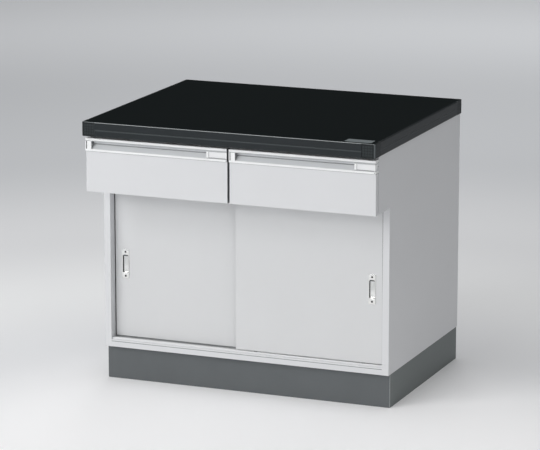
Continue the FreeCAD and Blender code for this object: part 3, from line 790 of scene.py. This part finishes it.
@dataclass
class Worktop(SubAssembly):
    """Core, laminate skin, edging, gridded corner caps and a blank label near the front right corner."""

    dressings: tuple[Dressing, ...] = (
        Dressing("chipboard", 0.3, ("worktop_core",)),
        Dressing("black_laminate", 0.25, ("worktop_laminate",)),
        Dressing("grey_edging", 0.8, ("edging_front", "edging_rear", "edging_left", "edging_right")),
        Dressing("corner_moulding", 1.4, (
            "corner_cap_front_left", "corner_cap_front_right", "corner_caps_rear",
        )),
    )
    square_pitch: float = 8.0
    square_groove: float = 1.8
    square_rise: float = 0.25
    square_edge: float = 0.15
    square_edge_segments: int = 1
    square_inset: float = 7.0
    square_count: int = 4
    label_width: float = 80.0
    label_depth: float = 36.0
    label_height: float = 0.3
    label_radius: float = 2.0
    label_corner_segments: int = 5
    label_right_inset: float = 12.0
    label_front_inset: float = 8.0

    def build(self) -> None:
        """Dresses the worktop's solids and adds the squares and the label."""
        super().build()
        self.build_squares()
        self.build_label()

    def build_squares(self) -> None:
        """Adds the raised squares on the two outer faces of each corner cap, drawn large enough to show."""
        low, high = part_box("corner_cap_front_left")
        side = (self.square_pitch - self.square_groove) * MM
        thick = 2 * self.square_rise * MM
        middle = (low.z + high.z) / 2
        shape = bmesh.new()
        for right, rear in product((-1.0, 1.0), repeat=2):
            corner = Vector((-low.x * right, -low.y * rear, middle))
            for column, row in product(range(self.square_count), repeat=2):
                inward = (self.square_inset + (column + 0.5) * self.square_pitch) * MM
                up = (row + 0.5 - self.square_count / 2) * self.square_pitch * MM
                add_block(shape, corner + Vector((-right * inward, 0.0, up)), Vector((side, thick, side)))
                add_block(shape, corner + Vector((0.0, -rear * inward, up)), Vector((thick, side, side)))
        round_off(shape, shape.edges[:], self.square_edge, self.square_edge_segments)
        make_piece("corner_cap_squares", shape, self.palette["corner_squares"], self.body)

    def build_label(self) -> None:
        """Adds a thin blank label on the laminate."""
        low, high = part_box("worktop_laminate")
        size = Vector((self.label_width, self.label_depth, self.label_height)) * MM
        corner = Vector((high.x - self.label_right_inset * MM, low.y + self.label_front_inset * MM, high.z))
        shape = bmesh.new()
        add_block(shape, corner + Vector((-size.x, size.y, size.z)) / 2, size)
        upright = [e for e in shape.edges if abs(e.verts[0].co.z - e.verts[1].co.z) > size.z / 2]
        round_off(shape, upright, self.label_radius, self.label_corner_segments)
        make_piece("worktop_label", shape, self.palette["grey_film"], self.body)


@dataclass
class Carcass(SubAssembly):
    """Side panels, boards between them, shelf, plinth, runners and door tracks."""

    dressings: tuple[Dressing, ...] = (
        Dressing("grey_board", 0.7, (
            "side_panel_left", "side_panel_right", "back_panel", "drawer_floor", "drawer_divider",
            "front_stretcher", "rear_stretcher", "shelf",
        )),
        Dressing("floor_board", 0.7, ("bottom_panel",)),
        Dressing("dark_board", 1.5, ("plinth_front",)),
        Dressing("dark_board", 0.2, ("plinth_rear", "plinth_sides")),
        Dressing("track_moulding", 0.3, ("lower_track",)),
        Dressing("white_moulding", 0.3, ("upper_track",)),
        Dressing("coated_steel", 0.25, ("fixed_runners",)),
        Dressing("zinc_steel", 0.4, ("worktop_screws",)),
        Dressing("bright_metal", 0.2, ("shelf_pegs",)),
    )


@dataclass
class SlidingPart(SubAssembly):
    """A drawer or a door, which slides on a body of its own.

    Attributes:
        side: the side of the bench that it is on.
        kind: the second half of its body's name.
    """

    side: Side = Side.LEFT
    kind: str = ""

    def __post_init__(self) -> None:
        """Names the part's body, which the names of its solids start with."""
        self.body = f"{self.side.value}_{self.kind}"
        self.prefix = f"{self.body}_"


@dataclass
class Drawer(SlidingPart):
    """Front board, handle rail with its end fittings and pins, box, runner rails and rollers."""

    dressings: tuple[Dressing, ...] = (
        Dressing("front_board", 0.9, ("front",)),
        Dressing("grip_moulding", 0.7, ("handle_rail",)),
        Dressing("cap_moulding", 0.5, ("handle_cap",)),
        Dressing("holder_moulding", 0.5, ("card_holder",)),
        Dressing("card", 0.1, ("label_card",)),
        Dressing("drawer_board", 0.5, ("sides", "bottom", "back")),
        Dressing("coated_steel", 0.25, ("runner_rails",)),
        Dressing("nylon", 0.5, ("front_rollers", "rear_rollers")),
    )
    kind: str = "drawer"
    pin_radius: float = 1.15
    pin_segments: int = 20
    # The share of a pin's radius that its front rim's rounding takes up
    pin_rounding: float = 1 / 3
    pin_rounding_segments: int = 3
    pin_length: float = 2.6
    pin_proud: float = 0.5
    slit_middle: float = 4.2
    slit_end_gap: float = 0.35
    rail_height: float = 38.0
    lip_height: float = 6.0
    end_inset: float = 2.4

    def build(self) -> None:
        """Adds the pins of the drawer's handle rail and dresses its solids."""
        self.build_pins()
        super().build()

    def build_pins(self) -> None:
        """Adds two dark pins that hold the rail's end fittings."""
        low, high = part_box(f"{self.prefix}handle_rail")
        radius, half = self.pin_radius * MM, self.pin_length / 2 * MM
        rail_bottom = high.z - self.rail_height * MM
        slit_bottom = rail_bottom + self.lip_height * MM
        lip_middle = rail_bottom + self.lip_height / 2 * MM
        shape = bmesh.new()
        for x, y, z in (
            (low.x + self.slit_middle * MM, low.y, slit_bottom + radius + self.slit_end_gap * MM),
            (high.x - self.end_inset * MM, low.y - self.pin_proud * MM, lip_middle),
        ):
            pin = bmesh.ops.create_cone(
                shape, cap_ends=True, segments=self.pin_segments, radius1=radius, radius2=radius,
                depth=self.pin_length * MM, matrix=Matrix.Translation((x, y + half, z)) @ UPRIGHT,
            )
            front = {v for v in pin["verts"] if v.co.y < y + half}
            rim = [e for e in shape.edges if set(e.verts) <= front]
            round_off(shape, rim, self.pin_radius * self.pin_rounding, self.pin_rounding_segments)
        finish = self.palette["black_plastic"]
        make_piece(f"{self.prefix}handle_pins", shape, finish, self.body)


@dataclass
class Door(SlidingPart):
    """Panel with a dark strip of painted shade at its closing edge, wheels in their housings, and a drawn
    flush pull with two screws.
    """

    dressings: tuple[Dressing, ...] = (
        Dressing("door_board", 0.9, ("panel",)),
        Dressing("nylon", 0.3, ("wheel_housings", "wheel_left", "wheel_right")),
    )
    kind: str = "door"
    cup_width: float = 17.0
    cup_height: float = 54.0
    cup_depth: float = 7.6
    cup_radius: float = 4.0
    plate_radius: float = 3.0
    plate_lift: float = 1.2
    plate_edge: float = 0.4
    sheet: float = 0.9
    rim_radius: float = 1.0
    floor_radius: float = 2.6
    corner_segments: int = 6
    fold_segments: int = 4
    pull_weld: float = 0.001
    head_radius: float = 3.0
    head_height: float = 1.2
    # The head's dome from its top outwards, in shares of the head's radius and height
    head_dome: tuple[tuple[float, float], ...] = (
        (0.0, 1.0), (0.45, 0.96), (0.75, 0.80), (0.93, 0.52), (1.0, 0.2), (1.0, 0.0),
    )
    shank_radius: float = 1.5
    screw_segments: int = 24
    screw_weld: float = 0.0001
    cross_arm: float = 1.9
    cross_width: float = 0.75
    cross_depth: float = 0.7
    # The least that a face of the head looks to the front to be part of the cross
    cross_facing: float = 0.2
    shade_strip_thickness: float = 2.2
    shade_strip_width: float = 11.0
    shade_strip_end_gap: float = 1.5
    shade_strip_rear_wrap: float = 0.4
    shade_strip_front_wrap: float = 2.0
    shade_strip_proud: float = 0.25
    shade_strip_radius: float = 0.9
    shade_strip_segments: int = 4

    def build(self) -> None:
        """Dresses the door's solids and adds its pull, screws and its strip of painted shade."""
        super().build()
        self.build_pull()
        self.build_screws()
        self.build_shade_strip()

    def build_shade_strip(self) -> None:
        """Adds a dark strip of painted shade that wraps the edge that closes against the side panel, standing
        in for the shade in the gap there.
        """
        low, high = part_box(f"{self.prefix}panel")
        # The left strip is black painted shade; the right strip's painted shade fades pale towards the floor
        if self.side is Side.LEFT:
            outward, edge, wrap, finish = -1.0, low.x, self.shade_strip_rear_wrap, "black_plastic"
        else:
            outward, edge, wrap, finish = 1.0, high.x, self.shade_strip_front_wrap, "fading_shade_plastic"
        size = Vector((
            self.shade_strip_thickness + wrap,
            self.shade_strip_width + self.shade_strip_proud,
            (high.z - low.z) / MM - 2 * self.shade_strip_end_gap,
        )) * MM
        centre = Vector((
            edge + outward * (self.shade_strip_thickness - wrap) / 2 * MM,
            low.y + (self.shade_strip_width - self.shade_strip_proud) / 2 * MM,
            (low.z + high.z) / 2,
        ))
        shape = bmesh.new()
        add_block(shape, centre, size)
        outer = [e for e in shape.edges if all((v.co.x - centre.x) * outward > 0 for v in e.verts)]
        round_off(shape, outer, self.shade_strip_radius, self.shade_strip_segments)
        make_piece(f"{self.prefix}shade_strip", shape, self.palette[finish], self.body)

    def build_pull(self) -> None:
        """Adds the pull: a pressed plate with a drawn cup, one sheet thick."""
        node = f"{self.prefix}pull"
        low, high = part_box(node)
        front = Vector(((low.x + high.x) / 2, low.y, (low.z + high.z) / 2))
        shape = bmesh.new()
        outer = front_loop(
            shape, front, high.x - low.x, high.z - low.z, self.plate_radius, self.corner_segments
        )
        inner = front_loop(
            shape, front, self.cup_width * MM, self.cup_height * MM, self.cup_radius, self.corner_segments
        )
        bmesh.ops.bridge_loops(shape, edges=outer + inner)
        push_back(shape, outer, self.plate_lift)
        floor = push_back(shape, inner, self.cup_depth)
        bmesh.ops.contextual_create(shape, geom=floor)
        for edges, radius in ((floor, self.floor_radius), (inner, self.rim_radius), (outer, self.plate_edge)):
            round_off(shape, edges, radius, self.fold_segments)
        bmesh.ops.remove_doubles(shape, verts=shape.verts[:], dist=self.pull_weld * MM)
        bmesh.ops.recalc_face_normals(shape, faces=shape.faces[:])
        plate = min(shape.faces, key=lambda face: face.calc_center_median().y)
        if plate.normal.y > 0:
            bmesh.ops.reverse_faces(shape, faces=shape.faces[:])
        bmesh.ops.solidify(shape, geom=shape.faces[:], thickness=self.sheet * MM)
        make_piece(f"{node}_drawn", shape, self.palette["pull_plate"], self.body, (node,))

    def build_screws(self) -> None:
        """Adds the pull's two screws as one piece."""
        node = f"{self.prefix}pull_screws"
        low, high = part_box(node)
        middle = (low.x + high.x) / 2
        seat = low.y + self.head_height * MM
        shape = bmesh.new()
        for z in (low.z + self.head_radius * MM, high.z - self.head_radius * MM):
            self.add_screw(shape, Vector((middle, seat, z)), high.y - seat)
        make_piece(f"{node}_cross", shape, self.palette["dark_steel"], self.body, (node,))

    def add_screw(self, shape: Shape, seat: Vector, length: float) -> None:
        """Adds a turned screw with a domed head and a cross recess.

        Args:
            shape: the mesh that gets the screw.
            seat: the middle of the head's underside.
            length: how far the shank reaches behind the seat, in metres.
        """
        screw = bmesh.new()
        weld = self.screw_weld * MM
        dome = [(out * self.head_radius, -up * self.head_height) for out, up in self.head_dome]
        end = length / MM
        outline = (*dome, (self.shank_radius, 0.0), (self.shank_radius, end), (0.0, end))
        verts = [screw.verts.new((x * MM, y * MM, 0.0)) for x, y in outline]
        edges = [screw.edges.new(pair) for pair in zip(verts, verts[1:])]
        bmesh.ops.spin(
            screw, geom=verts + edges, cent=(0, 0, 0), axis=(0, 1, 0), angle=math.tau,
            steps=self.screw_segments, use_merge=True,
        )
        bmesh.ops.remove_doubles(screw, verts=screw.verts[:], dist=weld)
        half, arm = self.cross_width / 2 * MM, self.cross_arm * MM
        for normal in (Vector((1, 0, 0)), Vector((0, 0, 1))):
            for reach in (-arm, -half, half, arm):
                bmesh.ops.bisect_plane(
                    screw, geom=screw.verts[:] + screw.edges[:] + screw.faces[:],
                    plane_co=normal * reach, plane_no=normal, dist=weld,
                )
        bmesh.ops.recalc_face_normals(screw, faces=screw.faces[:])
        cross = []
        for face in screw.faces:
            middle = face.calc_center_median()
            near, far = sorted((abs(middle.x), abs(middle.z)))
            if middle.y < 0 and near < half and far < arm and face.normal.y < -self.cross_facing:
                cross.append(face)
        sunk = bmesh.ops.extrude_face_region(screw, geom=cross)["geom"]
        bmesh.ops.delete(screw, geom=cross, context="FACES_KEEP_BOUNDARY")
        bmesh.ops.translate(
            screw, verts=[v for v in sunk if isinstance(v, bmesh.types.BMVert)],
            vec=(0.0, self.cross_depth * MM, 0.0),
        )
        bmesh.ops.translate(screw, verts=screw.verts[:], vec=seat)
        mesh = bpy.data.meshes.new("screw")
        screw.to_mesh(mesh)
        screw.free()
        shape.from_mesh(mesh)
        bpy.data.meshes.remove(mesh)


@dataclass(frozen=True)
class SoftBox:
    """A square studio light.

    Attributes:
        name: its name.
        place: where it stands, in metres.
        aim: what it points at, in metres.
        size: the length of its side, in metres.
        power: its power in watts.
        mirrored: whether glossy surfaces show it.
    """

    name: str
    place: Point
    aim: Point
    size: float
    power: float
    mirrored: bool = True

    def build(self) -> None:
        """Adds the light to the scene."""
        lamp = bpy.data.lights.new(self.name, "AREA")
        lamp.size = self.size
        lamp.energy = self.power
        light = bpy.data.objects.new(self.name, lamp)
        light.visible_glossy = self.mirrored
        light.location = self.place
        light.rotation_euler = (Vector(self.aim) - Vector(self.place)).to_track_quat("-Z", "Y").to_euler()
        bpy.context.scene.collection.objects.link(light)


@dataclass
class Studio:
    """Pale floor, soft light and the camera at the photograph's viewing angle, in metres and degrees."""

    floor_size: float = 60.0
    floor_reach: float = 8.0
    floor_centre: Point = (0.24, -0.66, 0.0)
    # Painted light: the floor's rings of tones, palest in front of the bench, stand in for light falling off
    # across the floor
    floor_tones: tuple[tuple[float, str], ...] = (
        (0.6, "#FBFBFC"), (1.2, "#E8E9EB"), (1.8, "#EFF0F1"), (2.6, "#E1E2E4"), (4.0, "#CACCCF"),
        (5.5, "#C4C6C9"), (7.5, "#D8DADD"),
    )
    floor_roughness: float = 0.9
    floor_specular: float = 0.1
    # Painted light: the floor glows round its centre, though no lamp is there
    floor_glow: float = 0.05
    glow_inner: float = 0.3
    glow_outer: float = 1.1
    sky_colour: str = "#FFFFFF"
    sky_low: float = 0.2
    sky_high: float = 0.9
    horizon_strength: float = 0.016
    overhead_strength: float = 0.656
    lights: tuple[SoftBox, ...] = (
        SoftBox("Key light", (-3.0, -4.6, 3.6), (0.0, -0.2, 0.5), 3.0, 130.0),
        SoftBox("Front fill", (-1.0, -6.6, 2.4), (0.0, 0.0, 0.4), 2.4, 92.0),
        SoftBox("Left wash", (-5.0, -0.5, 3.0), (0.0, 0.0, 0.2), 2.5, 27.0),
        SoftBox("Right fill", (6.0, 0.6, 2.2), (0.3, 0.0, 0.4), 2.4, 14.0),
        SoftBox("Right front", (3.6, -4.8, 2.4), (0.0, -0.2, 0.4), 1.6, 16.0),
        SoftBox("Rear light", (-1.0, 6.0, 4.5), (0.0, 2.0, 0.0), 4.0, 114.0, False),
    )
    azimuth: float = 22.154
    elevation: float = 12.769
    target: Point = (0.0, 0.0, 0.4)
    distance: float = 9.0977
    target_right: float = 0.0159
    target_up: float = -0.0531
    focal_px: float = 3072.0
    image_width_px: float = 540.0
    sensor_mm: float = 36.0
    view_reach: float = 100.0

    def build(self) -> None:
        """Adds the floor, the light and the camera."""
        self.build_floor()
        self.build_world()
        for light in self.lights:
            light.build()
        self.build_camera()

    def build_floor(self) -> None:
        """Adds a wide floor that is palest in front of the bench, where painted light makes it glow like a
        lit table.
        """
        shape = bmesh.new()
        bmesh.ops.create_grid(shape, x_segments=1, y_segments=1, size=self.floor_size / 2)
        mesh = bpy.data.meshes.new("floor")
        shape.to_mesh(mesh)
        shape.free()
        mesh.materials.append(self.floor_material())
        floor = bpy.data.objects.new("floor", mesh)
        bpy.context.scene.collection.objects.link(floor)

    def floor_material(self) -> bpy.types.Material:
        """Builds the floor's material.

        Returns:
            The material, with rings of tones as painted light falling off across the floor, and a glow of
            painted light round the floor's centre.
        """
        material = bpy.data.materials.new("Pale studio floor")
        material.use_nodes = True
        tree = material.node_tree
        coords = add_node(tree, "ShaderNodeTexCoord").outputs["Object"]
        away = add_node(
            tree, "ShaderNodeVectorMath", {"operation": "DISTANCE"}, {0: coords, 1: self.floor_centre}
        )
        share = add_node(
            tree, "ShaderNodeMapRange", None, {"Value": away.outputs["Value"], "From Max": self.floor_reach}
        )
        ramp = add_node(tree, "ShaderNodeValToRGB", None, {"Fac": share.outputs["Result"]})
        stops = ramp.color_ramp.elements
        while len(stops) < len(self.floor_tones):
            stops.new(1.0)
        for stop, (reach, tone) in zip(stops, self.floor_tones):
            stop.position = reach / self.floor_reach
            stop.color = linear(tone)
        ramp.color_ramp.interpolation = "EASE"
        glow = add_node(
            tree, "ShaderNodeMapRange", None,
            {
                "Value": away.outputs["Value"], "From Min": self.glow_inner, "From Max": self.glow_outer,
                "To Min": self.floor_glow, "To Max": 0.0,
            },
        )
        shader = tree.nodes["Principled BSDF"]
        tree.links.new(ramp.outputs["Color"], shader.inputs["Base Color"])
        tree.links.new(glow.outputs["Result"], shader.inputs["Emission Strength"])
        shader.inputs["Emission Color"].default_value = linear(self.sky_colour)
        shader.inputs["Roughness"].default_value = self.floor_roughness
        shader.inputs["Specular IOR Level"].default_value = self.floor_specular
        return material

    def build_world(self) -> None:
        """Sets a soft sky that is dim near the horizon and bright overhead."""
        world = bpy.data.worlds.new("Studio")
        world.use_nodes = True
        tree = world.node_tree
        sky = tree.nodes["Background"]
        direction = add_node(tree, "ShaderNodeTexCoord").outputs["Generated"]
        height = add_node(tree, "ShaderNodeSeparateXYZ", None, {"Vector": direction}).outputs["Z"]
        strength = add_node(
            tree, "ShaderNodeMapRange", {"interpolation_type": "SMOOTHSTEP"},
            {
                "Value": height, "From Min": self.sky_low, "From Max": self.sky_high,
                "To Min": self.horizon_strength, "To Max": self.overhead_strength,
            },
        )
        tree.links.new(strength.outputs["Result"], sky.inputs["Strength"])
        sky.inputs["Color"].default_value = linear(self.sky_colour)
        bpy.context.scene.world = world
        bpy.context.scene.view_settings.view_transform = "Standard"

    def build_camera(self) -> None:
        """Adds the camera, moved sideways so that the target lies off the picture's middle."""
        turn, rise = math.radians(self.azimuth), math.radians(self.elevation)
        back = Vector((math.sin(turn) * math.cos(rise), -math.cos(turn) * math.cos(rise), math.sin(rise)))
        right = Vector((math.cos(turn), math.sin(turn), 0.0))
        up = back.cross(right)
        lens = bpy.data.cameras.new("Camera")
        lens.sensor_width = self.sensor_mm
        lens.lens = self.focal_px / self.image_width_px * self.sensor_mm
        lens.clip_end = self.view_reach
        camera = bpy.data.objects.new("Camera", lens)
        camera.rotation_euler = Matrix((right, up, back)).transposed().to_euler()
        camera.location = (
            Vector(self.target) + back * self.distance - right * self.target_right - up * self.target_up
        )
        bpy.context.scene.collection.objects.link(camera)
        bpy.context.scene.camera = camera


def main() -> None:
    """Builds the sub-assemblies in order, then the studio."""
    logging.basicConfig(level=logging.INFO, format="%(message)s")
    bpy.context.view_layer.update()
    palette = Palette()
    Worktop(palette).build()
    Carcass(palette).build()
    for side in Side:
        Drawer(palette, side=side).build()
        Door(palette, side=side).build()
    Studio().build()


if __name__ == "__main__":
    main()
